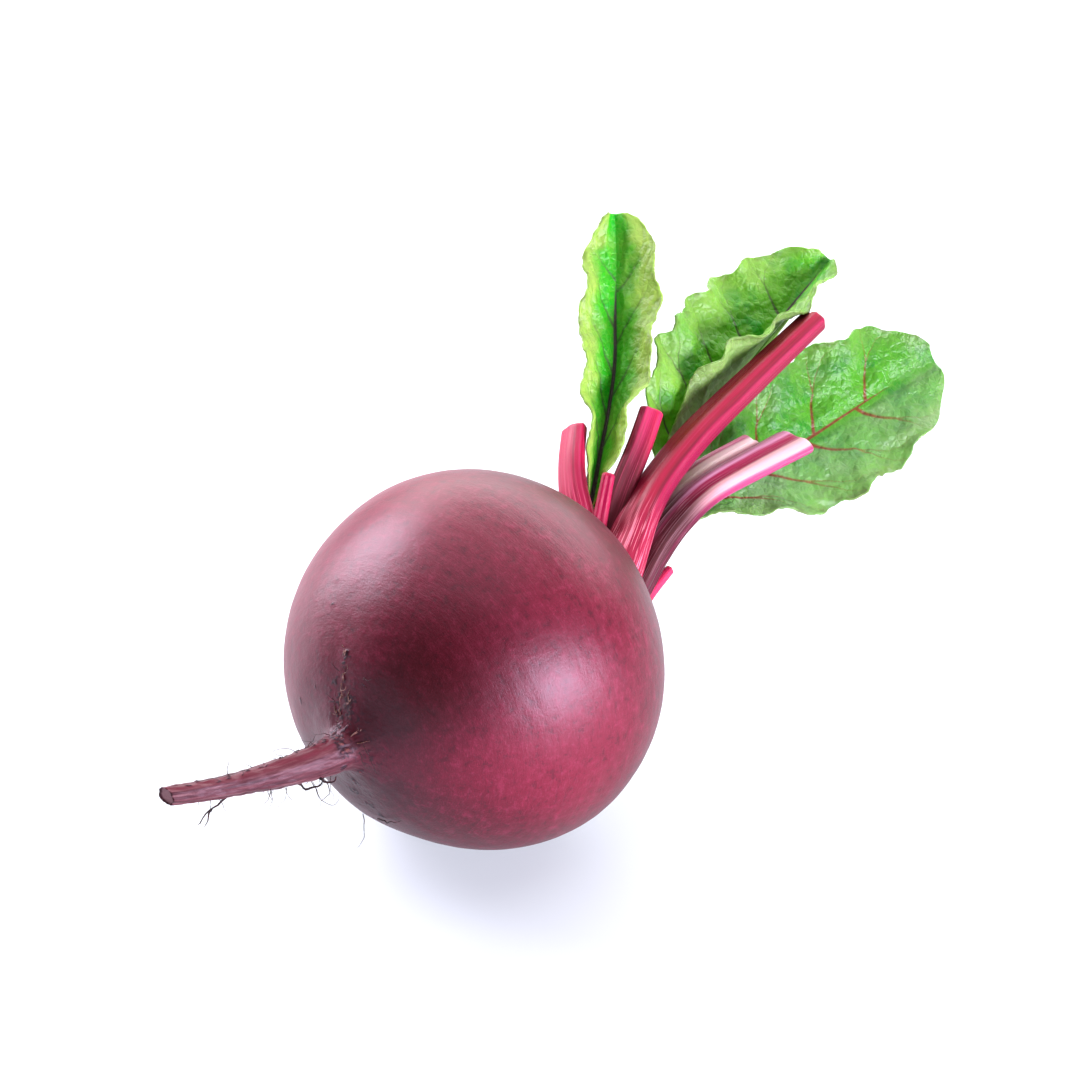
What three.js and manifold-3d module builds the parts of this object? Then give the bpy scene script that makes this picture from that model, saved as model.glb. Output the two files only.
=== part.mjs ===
// A beetroot as picked, lying on its side: the round storage root with its tap root, the cut leaf stems on its
// crown, and three young leaves. Millimetres, +Z up. The origin is the middle of the flat spot that it rests on,
// +X runs level from the tap root towards the crown, and +Y is to the left of that.
import * as THREE from "three";
import { mergeVertices } from "three/addons/utils/BufferGeometryUtils.js";
import Module from "manifold-3d";

const wasm = await Module();
wasm.setup();

// Driving dimensions of the root
const BULB_RADIUS = 39;
const BULB_CENTRE = new THREE.Vector3(0.5, 0, 36.6);
const AXIS_TILT = THREE.MathUtils.degToRad(2);
const TAP_START = -37;
const TAP_END = -75.5;
const TAP_SWAY = { left: 13, up: 2.8, power: 1.7 };
const FURROW = { angles: [18, 186], depth: 0.8, spread: 0.2, from: 4, to: 30 };

// Driving dimensions of the stems and leaves
const TOUCH_GAP = 0.35;
const LEAF_THICKNESS = 0.8;
const STEM_RIB = 0.035;
const CLASP_REACH = 14;

// How finely the surfaces are divided
const ROOT_SIDES = 40;
const RINGS_PER_POINT = 3;
const STEM_SIDES = 12;
const BLADE_STEPS = { along: 24, across: 10 };

const SKIN = { color: 0x6b1730, roughness: 0.42, metalness: 0 };
const STEM_RED = { color: 0xc41650, roughness: 0.4, metalness: 0 };
const STEM_PALE = { color: 0xe07aa0, roughness: 0.4, metalness: 0 };
const STEM_DARK = { color: 0x7a1038, roughness: 0.45, metalness: 0 };
const LEAF_GREEN = { color: 0x4fa82c, roughness: 0.5, metalness: 0 };

const AXIS = new THREE.Vector3(Math.cos(AXIS_TILT), 0, Math.sin(AXIS_TILT));
const AXIS_UP = new THREE.Vector3(-Math.sin(AXIS_TILT), 0, Math.cos(AXIS_TILT));
const AXIS_LEFT = new THREE.Vector3(0, 1, 0);

const smooth = THREE.MathUtils.smoothstep;
const mix = THREE.MathUtils.lerp;
const rad = THREE.MathUtils.degToRad;

// Closed meshes and solids

function closed(geometry) {
  geometry.deleteAttribute("normal");
  geometry.deleteAttribute("uv");
  return mergeVertices(geometry, 1e-4);
}

function moved(geometry, place) {
  const position = geometry.getAttribute("position");
  const p = new THREE.Vector3();
  for (let i = 0; i < position.count; i++) {
    place(p.fromBufferAttribute(position, i));
    position.setXYZ(i, p.x, p.y, p.z);
  }
  return geometry;
}

function solid(geometry) {
  return new wasm.Manifold(
    new wasm.Mesh({
      numProp: 3,
      vertProperties: new Float32Array(geometry.attributes.position.array),
      triVerts: new Uint32Array(geometry.index.array),
    }),
  );
}

function largestBody(shape) {
  return shape.decompose().reduce((a, b) => (b.volume() > a.volume() ? b : a));
}

function geometryOf(shape) {
  const mesh = shape.getMesh();
  return new THREE.BufferGeometry()
    .setAttribute("position", new THREE.BufferAttribute(mesh.vertProperties, 3))
    .setIndex(new THREE.BufferAttribute(mesh.triVerts, 1));
}

// Storage root and tap root

// The outline, from the crown to the cut tip: distance along the axis from the widest part, and radius.
const ROOT_OUTLINE = [
  [38, 0],
  [37.4, 6],
  [35.2, 12],
  [30.4, 19.2],
  [23, 28.4],
  [13, 35.8],
  [2, BULB_RADIUS],
  [-9, 38.2],
  [-19, 34.6],
  [-28, 27.9],
  [-34.5, 19.2],
  [-38.6, 10.4],
  [-43, 5],
  [-52, 3],
  [-64, 2.3],
  [TAP_END + 0.6, 1.7],
  [TAP_END, 0],
].map(([along, radius]) => new THREE.Vector3(radius, along, 0));

// Two furrows, top and bottom, run from the belly down into the tap root: the rows that rootlets grow from.
function furrowDepth(along, angle) {
  const strength = smooth(-along, FURROW.from, FURROW.to) * (1 - 0.8 * smooth(-along, 38, 46));
  return FURROW.angles.reduce((sum, degrees) => {
    const apart = Math.atan2(Math.sin(angle - rad(degrees)), Math.cos(angle - rad(degrees)));
    return sum + strength * FURROW.depth * Math.exp(-((apart / FURROW.spread) ** 2));
  }, 0);
}

// The slow unevenness of a grown root, which is never quite round, and a little flatter below.
function lobes(along, angle) {
  const belly = 1 - smooth(Math.abs(along), 26, 40);
  const below = 0.5 - 0.5 * Math.cos(angle - rad(8));
  const flatter = (0.04 - 0.0009 * along) * below ** 6;
  const uneven = 0.006 * Math.cos(2 * angle - 0.9) + 0.006 * Math.cos(3 * angle + 1.3);
  return 1 + belly * (uneven + 0.004 * Math.cos(5 * angle + 0.09 * along) - flatter);
}

function spine(along) {
  const share = Math.max(0, (TAP_START - along) / (TAP_START - TAP_END)) ** TAP_SWAY.power;
  return BULB_CENTRE.clone()
    .addScaledVector(AXIS, along)
    .addScaledVector(AXIS_LEFT, share * TAP_SWAY.left)
    .addScaledVector(AXIS_UP, share * TAP_SWAY.up);
}

// The root, or with grown above 0 the space that its neighbours keep clear of.
function rootGeometry(grown = 0) {
  const curve = new THREE.CatmullRomCurve3(ROOT_OUTLINE, false, "catmullrom", 0.5);
  const outline = curve
    .getPoints(RINGS_PER_POINT * (ROOT_OUTLINE.length - 1))
    .map((p) => new THREE.Vector2(Math.max(p.x, 0), p.y));
  return closed(
    moved(new THREE.LatheGeometry(outline, ROOT_SIDES), (p) => {
      const radius = Math.hypot(p.x, p.z);
      const angle = Math.atan2(p.x, p.z);
      const along = p.y;
      const skin = radius > 1e-3 ? radius * lobes(along, angle) - furrowDepth(along, angle) + grown : 0;
      p.copy(spine(along + Math.sign(along) * grown))
        .addScaledVector(AXIS_UP, skin * Math.cos(angle))
        .addScaledVector(AXIS_LEFT, skin * Math.sin(angle));
      if (!grown) p.z = Math.max(p.z, 0);
    }),
  );
}

// Stems and the stalks of leaves

// A stem runs along a path. It is broad and clasping where it leaves the crown, hollowed on its inner side and
// ribbed. Its tip is the share of its width that is left at the far end.
class Stem {
  constructor({ path, inner, wide, thick, tip = 0.85, clasp = 0.5, hollow = 0.3, rings = 10, slant = 0 }) {
    this.curve = new THREE.CatmullRomCurve3(
      path.map((p) => new THREE.Vector3(...p)),
      false,
      "catmullrom",
      0.5,
    );
    this.length = this.curve.getLength();
    this.inner = new THREE.Vector3(...inner).normalize();
    Object.assign(this, { wide, thick, tip, clasp, hollow, rings, slant });
  }

  // Half the width and half the thickness at a share t of the length.
  halves(t) {
    const taper = mix(1, this.tip, t);
    const clasp = this.clasp * Math.exp(-(((t * this.length) / CLASP_REACH) ** 2));
    return [(this.wide / 2) * (taper + clasp), (this.thick / 2) * (taper + 0.4 * clasp)];
  }

  // The place at t, and which way is along, inwards to the heart of the plant, and sideways.
  frame(t) {
    const ahead = this.curve.getTangentAt(t);
    const inwards = this.inner.clone().addScaledVector(ahead, -this.inner.dot(ahead)).normalize();
    return { at: this.curve.getPointAt(t), ahead, inwards, sideways: ahead.clone().cross(inwards) };
  }

  geometry(grown = 0) {
    // The last ring of the tube is the cut end, drawn in a little so that its edge is soft.
    const body = this.rings - 1;
    const bevel = 0.5 / this.length;
    return closed(
      moved(new THREE.CylinderGeometry(1, 1, 1, STEM_SIDES, this.rings), (p) => {
        const ring = Math.round((p.y + 0.5) * this.rings);
        const t = ring > body ? 1 : (ring / body) * (1 - bevel);
        const [halfWide, halfThick] = this.halves(t);
        const { at, ahead, inwards, sideways } = this.frame(t);
        const rib = 1 + STEM_RIB * Math.cos((STEM_SIDES / 2) * Math.atan2(p.z, p.x));
        const edge = ring > body ? 0.86 : rib;
        const groove = p.z > 0 ? this.hollow * Math.exp(-((p.x / 0.55) ** 2)) : 0;
        const across = p.x * edge * (halfWide + grown);
        const deep = p.z * (1 - groove) * edge * (halfThick + grown);
        const cut = this.slant * (across / halfWide) * t ** 6 + (ring > body ? grown : 0);
        p.copy(at).addScaledVector(sideways, across).addScaledVector(inwards, deep).addScaledVector(ahead, cut);
      }),
    );
  }
}

// Leaf blades

// A blade lies along the inner side of its stalk's outer stretch. It is worked out as a middle surface, with u
// from 0 at its base to 1 at its tip, and v from -1 at its right edge to 1 at its left. Values in pairs are for
// the right half and the left half.
class Blade {
  constructor({ stalk, from, half, fold, curl, rise, widest, blunt, ruffle = 1.5, waves = 4, scallop = 0.05 }) {
    Object.assign(this, { stalk, from, half, fold, curl, rise, widest, blunt, ruffle, waves, scallop });
  }

  width(u, side) {
    const widest = this.widest[side];
    const rise = Math.sin((Math.PI / 2) * Math.min(1, u / widest)) ** this.rise[side];
    const past = Math.max(0, (u - widest) / (1.01 - widest));
    const margin = 1 + this.scallop * Math.sin(2 * Math.PI * (1.5 * this.waves * u + 0.2 * side));
    return Math.max(1.4, this.half[side] * rise * Math.sqrt(1 - past ** this.blunt[side]) * margin);
  }

  middle(u, v) {
    const side = v > 0 ? 1 : 0;
    const out = Math.abs(v);
    const t = mix(this.from, 1, u);
    const { at, inwards, sideways } = this.stalk.frame(t);
    const fold = rad(mix(...this.fold[side], smooth(u, 0.2, 0.9)));
    const curl = rad(this.curl[side]);
    const width = this.width(u, side);
    const across = (width * (Math.sin(fold + curl * out) - Math.sin(fold))) / curl;
    const lift = (width * (Math.cos(fold) - Math.cos(fold + curl * out))) / curl;
    const swell = this.ruffle * smooth(u, 0.05, 0.3) * out ** 2.2;
    const wave = swell * Math.sin(2 * Math.PI * (this.waves * u + 0.3 * side));
    const slope = fold + curl * out;
    const clear = this.stalk.halves(t)[1] + TOUCH_GAP + LEAF_THICKNESS / 2;
    return at
      .addScaledVector(sideways, (side ? -1 : 1) * (across - wave * Math.sin(slope)))
      .addScaledVector(inwards, clear + lift + wave * Math.cos(slope));
  }

  normal(u, v) {
    const step = 1e-3;
    const alongU = this.middle(Math.min(1, u + step), v).sub(this.middle(Math.max(0, u - step), v));
    const alongV = this.middle(u, Math.min(1, v + step)).sub(this.middle(u, Math.max(-1, v - step)));
    return alongV.cross(alongU).normalize();
  }

  // Two like sheets of triangles, half a thickness to either side of the middle surface, joined at their edges.
  geometry() {
    const { along, across } = BLADE_STEPS;
    const sheet = new THREE.PlaneGeometry(2, 1, across, along);
    const flat = sheet.getAttribute("position");
    const count = flat.count;
    const places = new Float32Array(count * 6);
    for (let i = 0; i < count; i++) {
      const u = flat.getY(i) + 0.5;
      const v = flat.getX(i);
      const middle = this.middle(u, v);
      const offset = this.normal(u, v).multiplyScalar(LEAF_THICKNESS / 2);
      middle.clone().add(offset).toArray(places, i * 3);
      middle.clone().sub(offset).toArray(places, (count + i) * 3);
    }
    const faces = Array.from(sheet.index.array);
    for (let i = 0, end = faces.length; i < end; i += 3) {
      faces.push(count + faces[i], count + faces[i + 2], count + faces[i + 1]);
    }
    const row = across + 1;
    const rim = [
      ...Array.from({ length: across }, (_, i) => i),
      ...Array.from({ length: along }, (_, i) => i * row + across),
      ...Array.from({ length: across }, (_, i) => along * row + across - i),
      ...Array.from({ length: along }, (_, i) => (along - i) * row),
    ];
    rim.forEach((a, i) => {
      const b = rim[(i + 1) % rim.length];
      faces.push(a, b, count + a, b, count + b, count + a);
    });
    return new THREE.BufferGeometry().setAttribute("position", new THREE.BufferAttribute(places, 3)).setIndex(faces);
  }
}

// The stems, in the order in which they make room for each other. Each path starts inside the crown.
const STEMS = {
  stem_long: {
    material: STEM_RED,
    wide: 7.5,
    thick: 5.6,
    clasp: 0.85,
    rings: 14,
    inner: [-0.35, 0.45, 0.82],
    path: [
      [29.4, -6.4, 38.7],
      [36.4, -5.4, 43.2],
      [41.4, -4.3, 46.8],
      [47.9, -2.7, 51.2],
      [55.7, -1.7, 55.6],
      [67.4, -1.9, 61.1],
      [84.4, -2.9, 67.1],
      [104.3, -4.5, 74.2],
    ],
  },
  stem_bowed: {
    material: STEM_RED,
    wide: 8,
    thick: 4.6,
    clasp: 0.3,
    inner: [0.7, -0.3, -0.2],
    path: [
      [30.4, 3.1, 38.7],
      [36.4, 4.9, 44],
      [39.8, 8, 48.7],
      [42.5, 11.8, 53.2],
      [46.4, 15, 57.4],
      [51.4, 18, 61.6],
    ],
  },
  stem_striped_near: {
    material: STEM_PALE,
    wide: 6.6,
    thick: 4.2,
    tip: 1.25,
    clasp: 0.15,
    rings: 13,
    slant: 1.4,
    inner: [-0.4, -0.1, 1],
    path: [
      [30.4, -7.9, 33.7],
      [37, -8.8, 38.2],
      [44.7, -8.1, 43.6],
      [53.4, -7.4, 47.6],
      [63.9, -7.6, 50.6],
      [76.9, -10, 52.4],
      [88.4, -12.4, 53.8],
    ],
  },
  stem_striped_far: {
    material: STEM_PALE,
    wide: 6.4,
    thick: 4.2,
    tip: 1,
    clasp: 0.3,
    rings: 12,
    inner: [-0.4, 0, 1],
    path: [
      [30.4, -1.4, 32.7],
      [37.9, -1.4, 35.8],
      [49.9, -0.4, 42.5],
      [59.4, -0.2, 47.4],
      [69.4, -1.2, 50.2],
      [84.7, -3.6, 51.8],
    ],
  },
  stem_dark: {
    material: STEM_DARK,
    wide: 5.8,
    thick: 4.4,
    clasp: 0.3,
    inner: [-0.4, -0.5, 0.6],
    path: [
      [31.4, -0.4, 36.7],
      [36.4, 0.6, 40.6],
      [40.6, 1.5, 45.8],
      [45.2, 2.1, 50.7],
      [49.8, 2.9, 55.6],
      [55.4, 3.8, 61.1],
      [61, 5.1, 66.8],
    ],
  },
};

const LEAVES = {
  upright: {
    stalk: {
      wide: 4.6,
      thick: 3.6,
      tip: 0.3,
      clasp: 0.3,
      rings: 16,
      inner: [-0.6, -0.6, 0.45],
      path: [
        [31.4, 6.6, 33.2],
        [37.9, 7.6, 38.7],
        [42.9, 8.6, 44.7],
        [47.4, 10.1, 50.2],
        [53.9, 13.1, 57.2],
        [60.9, 16.6, 63.7],
        [66.9, 20.1, 70.2],
        [71.9, 24.1, 77.2],
        [78.1, 28.9, 86.7],
        [82.4, 32.9, 95.2],
      ],
    },
    blade: {
      from: 0.24,
      half: [10.6, 9.4],
      fold: [[58, 28], [42, 22]],
      curl: [12, 12],
      rise: [0.85, 1.2],
      widest: [0.5, 0.45],
      blunt: [4, 2.8],
      ruffle: 1.1,
    },
  },
  folded: {
    stalk: {
      wide: 4.4,
      thick: 3.6,
      tip: 0.3,
      clasp: 0.3,
      rings: 16,
      inner: [-0.35, 0.1, 0.93],
      path: [
        [31.4, 2.6, 35.2],
        [37.4, 3.6, 38.7],
        [45.9, 4.2, 43.2],
        [55.3, 4.5, 48.8],
        [66.1, 4.5, 53.6],
        [76.5, 4, 58.3],
        [87, 4, 62.3],
        [97.5, 4.1, 67.1],
        [107.5, 3.6, 72.7],
        [119.4, 2.5, 79.9],
      ],
    },
    blade: {
      from: 0.37,
      half: [11, 18.6],
      fold: [[84, 24], [52, 30]],
      curl: [8, 14],
      rise: [1.2, 0.65],
      widest: [0.42, 0.36],
      blunt: [1.8, 2.1],
      ruffle: 1.4,
      waves: 5,
    },
  },
  broad: {
    stalk: {
      wide: 4.6,
      thick: 3.8,
      tip: 0.3,
      clasp: 0.3,
      rings: 16,
      inner: [-0.5, -0.6, 0.62],
      path: [
        [31.4, -3.4, 30.2],
        [38.4, -3.4, 32.2],
        [54.4, -0.8, 35.8],
        [71.4, 0.6, 39.8],
        [83.6, -0.2, 42.4],
        [94, -2, 43.6],
        [103.6, -4.2, 45],
        [113, -6.4, 47.4],
        [125.2, -9.7, 50.8],
        [137.6, -13.2, 53.6],
      ],
    },
    blade: {
      from: 0.32,
      half: [16.5, 17],
      fold: [[10, 5], [6, 8]],
      curl: [10, 10],
      rise: [1.2, 1.2],
      widest: [0.5, 0.42],
      blunt: [2.6, 3],
      ruffle: 1.5,
    },
  },
};

const STUBS = {
  stem_stub_heart: {
    material: STEM_RED,
    wide: 3,
    thick: 2.8,
    clasp: 0.2,
    inner: [-0.5, -0.5, 0.6],
    path: [
      [34.4, -0.4, 39.7],
      [37.4, 0.5, 44],
      [39.2, 1.4, 49.7],
      [41.7, 2.1, 55.2],
      [43.8, 2.6, 59.8],
    ],
  },
  stem_stub_low_right: {
    material: STEM_DARK,
    wide: 3.6,
    thick: 2.8,
    clasp: 0.4,
    rings: 8,
    inner: [0, 0.7, 0.7],
    path: [
      [30.4, -8.9, 28.7],
      [36.4, -9.2, 32],
      [42.9, -8.6, 35.2],
      [50.4, -8.4, 38.2],
    ],
  },
  stem_stub_low_left: {
    material: STEM_DARK,
    wide: 6,
    thick: 4.2,
    clasp: 0.4,
    rings: 6,
    inner: [0, -0.7, 0.7],
    path: [
      [30.4, 7.6, 29.2],
      [37.4, 9.1, 28.7],
      [46.4, 12.1, 29.7],
    ],
  },
  stem_stub_far: {
    material: STEM_DARK,
    wide: 6.4,
    thick: 4.4,
    clasp: 0.4,
    rings: 6,
    inner: [0, 0, 1],
    path: [
      [30.4, -0.4, 25.2],
      [37.4, 0.1, 24.2],
      [45.4, 1.1, 23.7],
    ],
  },
};

const group = new THREE.Group();

function add(name, geometry, material) {
  const mesh = new THREE.Mesh(geometry, new THREE.MeshStandardMaterial(material));
  mesh.name = name;
  group.add(mesh);
}

add("storage_root", rootGeometry(), SKIN);

// Every stem is cut back by the root and by the stems before it, each grown by the gap between them.
let taken = solid(rootGeometry(TOUCH_GAP));
function addStem(name, stem, material) {
  add(name, geometryOf(largestBody(solid(stem.geometry()).subtract(taken))), material);
  taken = taken.add(solid(stem.geometry(TOUCH_GAP)));
}
for (const [name, { material, ...sizes }] of Object.entries(STEMS)) addStem(name, new Stem(sizes), material);
for (const [name, { stalk: sizes, blade }] of Object.entries(LEAVES)) {
  const stalk = new Stem(sizes);
  addStem(`leaf_${name}_stem`, stalk, STEM_RED);
  add(`leaf_${name}_blade`, new Blade({ stalk, ...blade }).geometry(), LEAF_GREEN);
}
for (const [name, { material, ...sizes }] of Object.entries(STUBS)) addStem(name, new Stem(sizes), material);

export default group;
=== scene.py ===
"""A beetroot as picked, lying on its side: the round root with its tap root and rootlets, the cut leaf stems
on its crown, and three young leaves. Shapes are worked out in millimetres, and turned to metres as each piece
is finished."""

import bisect
import math
import random

import bmesh
import bpy
from mathutils import Matrix, Vector, noise
from mathutils.kdtree import KDTree


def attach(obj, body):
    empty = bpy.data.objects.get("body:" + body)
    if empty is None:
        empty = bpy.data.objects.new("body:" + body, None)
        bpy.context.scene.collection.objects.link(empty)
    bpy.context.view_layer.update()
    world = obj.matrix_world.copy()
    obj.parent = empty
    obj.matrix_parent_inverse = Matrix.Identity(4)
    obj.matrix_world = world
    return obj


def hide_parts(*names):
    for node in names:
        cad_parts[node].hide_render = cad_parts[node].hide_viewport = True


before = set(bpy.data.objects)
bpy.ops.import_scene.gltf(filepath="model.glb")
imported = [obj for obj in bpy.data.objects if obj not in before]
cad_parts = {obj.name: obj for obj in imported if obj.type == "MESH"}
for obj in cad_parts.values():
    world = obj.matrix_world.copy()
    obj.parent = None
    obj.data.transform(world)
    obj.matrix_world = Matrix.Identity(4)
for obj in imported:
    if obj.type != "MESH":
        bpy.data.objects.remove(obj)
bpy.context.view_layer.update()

MM = 0.001  # metres in a millimetre
TURN = 2 * math.pi

# Driving dimensions of the root, in millimetres. Places along its axis count from its widest part, and are
# positive towards the crown.
BULB_RADIUS = 39
BULB_CENTRE = Vector((0.5, 0, 36.6))
AXIS_TILT = math.radians(2)
AXIS = Vector((math.cos(AXIS_TILT), 0, math.sin(AXIS_TILT)))
AXIS_UP = Vector((-math.sin(AXIS_TILT), 0, math.cos(AXIS_TILT)))
AXIS_LEFT = Vector((0, 1, 0))
TAP_START = -37
TAP_END = -75.5
TAP_SWAY_LEFT = 13
TAP_SWAY_UP = 2.8
TAP_SWAY_POWER = 1.7
FURROW_ANGLES = (18, 186)
FURROW_DEPTH = 0.5
FURROW_SPREAD = 0.26
CROWN_FROM, CROWN_TO = 26, 33  # where the skin turns into the crown
TAP_FROM, TAP_TO = 38, 46  # how far below the widest part the skin turns into the bark of the tap root
CUT_SKIN = 2  # how much of the outline's end is the cut face

# Driving dimensions of the stems and leaves, in millimetres, or as shares where marked
CLASP_REACH = 14
STEM_RIB = 0.035  # share of the stem's thickness
LEAF_THICKNESS = 0.5
LEAF_CLEARANCE = 0.15
SCALLOP = 0.05  # share of the blade's width
MIDRIB_FLAT = (0.6, 2.6)  # how near to its midrib a blade is flat, and from where it is uneven

# How finely the surfaces are divided
ROOT_GRID = (240, 340)
STEM_GRID = (56, 110)
BLADE_GRID = (120, 220)
HAIR_GRID = (6, 18)
SEAM_GAP = 0.002  # vertices nearer than this become one
PATH_STEP = 0.004  # the share of a path that its direction is read over
OUTLINE_HALVINGS = 20

# Seeds of the scattered details
SCAR_SEED = 5
HAIR_SEED = 11
CURL_SEED = 23

# Layers of the meshes
SPOT = "spot"
MARKS = "marks"
WAY = "way"


def mix(a, b, share):
    return a + (b - a) * share


def smooth(x, low, high):
    """0 below low, 1 above high, and a soft step between."""
    share = min(1, max(0, (x - low) / (high - low)))
    return share * share * (3 - 2 * share)


def hump(x, spread):
    """1 at 0, and less the further x is from it."""
    return math.exp(-((x / spread) ** 2))


def shaken(at, apart):
    """A small push in three directions, from noise read at places that are apart from each other."""
    return Vector([noise.noise(at + Vector((apart * i, 0, 0))) for i in range(3)])


def round_axis(east, north, along):
    """Noise over a surface that is wrapped round an axis."""
    return noise.noise(Vector((east, north, along)))


class Path:
    """A smooth curve through points, read by the share of its length."""

    STEPS = 24

    def __init__(self, points):
        points = [Vector(p) for p in points]
        run = [2 * points[0] - points[1], *points, 2 * points[-1] - points[-2]]
        self.places = [
            self.between(*stretch, step / self.STEPS)
            for stretch in zip(run, run[1:], run[2:], run[3:])
            for step in range(self.STEPS)
        ]
        self.places.append(points[-1])
        self.marks = [0.0]
        for a, b in zip(self.places, self.places[1:]):
            self.marks.append(self.marks[-1] + (b - a).length)
        self.length = self.marks[-1]

    @staticmethod
    def between(before, start, end, after, t):
        bend = 2 * before - 5 * start + 4 * end - after
        twist = 3 * start - before - 3 * end + after
        return start + 0.5 * ((end - before) * t + bend * t**2 + twist * t**3)

    def at(self, share):
        along = min(1, max(0, share)) * self.length
        i = min(len(self.marks) - 1, max(1, bisect.bisect_right(self.marks, along)))
        low, high = self.marks[i - 1], self.marks[i]
        return self.places[i - 1].lerp(self.places[i], (along - low) / (high - low))

    def ahead(self, share):
        return (self.at(share + PATH_STEP) - self.at(share - PATH_STEP)).normalized()


# Meshes


def new_shape():
    """An empty mesh with the layers that the finishes read: a vertex's spot on its piece, and its marks."""
    shape = bmesh.new()
    shape.verts.layers.float_vector.new(SPOT)
    shape.verts.layers.float_vector.new(MARKS)
    return shape


def lay_out(shape, grid, place):
    """Adds a grid and moves each vertex to where place says, from its shares across and along the grid."""
    spot = shape.verts.layers.float_vector[SPOT]
    marks = shape.verts.layers.float_vector[MARKS]
    added = bmesh.ops.create_grid(shape, x_segments=grid[0], y_segments=grid[1], size=0.5)["verts"]
    for vertex in added:
        vertex.co, vertex[spot], vertex[marks] = place(vertex.co.x + 0.5, vertex.co.y + 0.5)
    return added


def close_seams(shape):
    bmesh.ops.remove_doubles(shape, verts=shape.verts, dist=SEAM_GAP)
    bmesh.ops.recalc_face_normals(shape, faces=shape.faces)


def finish_piece(name, shape, finish, slot, *nodes):
    """Turns a shape into a piece of the plant, in metres."""
    bmesh.ops.transform(shape, matrix=Matrix.Scale(MM, 4), verts=shape.verts)
    mesh = bpy.data.meshes.new(name)
    shape.to_mesh(mesh)
    shape.free()
    mesh.shade_smooth()
    mesh.materials.append(finish)
    made = bpy.data.objects.new(name, mesh)
    bpy.context.scene.collection.objects.link(made)
    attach(made, "root")
    if nodes:
        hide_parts(*nodes)


# Finishes


class Wire:
    """A socket of a finish. Arithmetic on it adds Math nodes."""

    def __init__(self, finish, socket):
        self.finish = finish
        self.socket = socket

    def maths(self, operation, *values):
        return self.finish.node("ShaderNodeMath", {"operation": operation}, dict(enumerate(values)))

    def __add__(self, other):
        return self.maths("ADD", self, other)

    __radd__ = __add__

    def __sub__(self, other):
        return self.maths("SUBTRACT", self, other)

    def __rsub__(self, other):
        return self.maths("SUBTRACT", other, self)

    def __mul__(self, other):
        return self.maths("MULTIPLY", self, other)

    __rmul__ = __mul__

    def __truediv__(self, other):
        return self.maths("DIVIDE", self, other)

    def turned(self, other):
        """The angle, in turns from -0.5 to 0.5, of the point (other, self) round the origin."""
        return self.maths("ARCTAN2", self, other) / TURN

    def size(self):
        return self.maths("ABSOLUTE", self)

    def step(self, low, high):
        """0 below low, 1 above high, and a soft step between."""
        settings = {"interpolation_type": "SMOOTHSTEP"}
        return self.finish.node("ShaderNodeMapRange", settings, {0: self, 1: low, 2: high})


class Finish:
    """A material as it is put together from nodes."""

    def __init__(self, name, **constants):
        self.material = bpy.data.materials.new(name)
        self.material.use_nodes = True
        self.tree = self.material.node_tree
        self.shader = self.tree.nodes["Principled BSDF"]
        for socket, value in constants.items():
            self.shader.inputs[socket.replace("_", " ")].default_value = value

    def node(self, kind, settings, sockets, output=0):
        """Adds a node with its settings and with the values or wires of its sockets, and gives its output."""
        node = self.tree.nodes.new(kind)
        for setting, value in settings.items():
            if setting == "stops":
                self.set_stops(node.color_ramp, value)
            else:
                setattr(node, setting, value)
        for socket, value in sockets.items():
            self.feed(node.inputs[socket], value)
        return Wire(self, node.outputs[output])

    def feed(self, socket, value):
        if isinstance(value, Wire):
            self.tree.links.new(value.socket, socket)
        else:
            socket.default_value = value

    @staticmethod
    def set_stops(ramp, stops):
        while len(ramp.elements) > 1:
            ramp.elements.remove(ramp.elements[-1])
        for i, (position, colour) in enumerate(stops):
            element = ramp.elements[0] if i == 0 else ramp.elements.new(position)
            element.position = position
            element.color = colour

    def layer(self, name):
        """The three numbers of a layer of the mesh."""
        vector = self.node("ShaderNodeAttribute", {"attribute_name": name}, {}, "Vector")
        return [self.node("ShaderNodeSeparateXYZ", {}, {0: vector}, i) for i in range(3)]

    def vector(self, x, y, z):
        return self.node("ShaderNodeCombineXYZ", {}, {0: x, 1: y, 2: z})

    def grain(self, place, scale, detail=2.0, roughness=0.5):
        """Noise from 0 to 1."""
        sockets = {"Vector": place, "Scale": scale, "Detail": detail, "Roughness": roughness}
        return self.node("ShaderNodeTexNoise", {}, sockets)

    def cells(self, place, scale):
        """How far the nearest border between cells is."""
        sockets = {"Vector": place, "Scale": scale}
        return self.node("ShaderNodeTexVoronoi", {"feature": "DISTANCE_TO_EDGE"}, sockets)

    def blend(self, share, a, b):
        """Colour b over colour a."""
        return self.node("ShaderNodeMix", {"data_type": "RGBA"}, {0: share, 6: a, 7: b}, 2)

    def tint(self, share, colour, code):
        """A colour, with the colour of a code over it."""
        return self.blend(share, colour, paint(code))

    def ramp(self, share, stops):
        """The colours of codes, each at its place from 0 to 1."""
        stops = [(place, paint(code)) for place, code in stops]
        return self.node("ShaderNodeValToRGB", {"stops": stops}, {0: share})

    def done(self, colour, roughness, height, depth):
        """Joins colour, roughness and a relief of depth metres to the shader."""
        self.feed(self.shader.inputs["Base Color"], colour)
        self.feed(self.shader.inputs["Roughness"], roughness)
        bump = self.node("ShaderNodeBump", {}, {"Height": height, "Distance": depth, "Strength": 1.0})
        self.feed(self.shader.inputs["Normal"], bump)
        return self.material


def paint(code):
    """A colour from its hexadecimal code, as the light that it gives back."""
    parts = [int(code[i : i + 2], 16) / 255 for i in (1, 3, 5)]
    return (*[p / 12.92 if p <= 0.04045 else ((p + 0.055) / 1.055) ** 2.4 for p in parts], 1)


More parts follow.
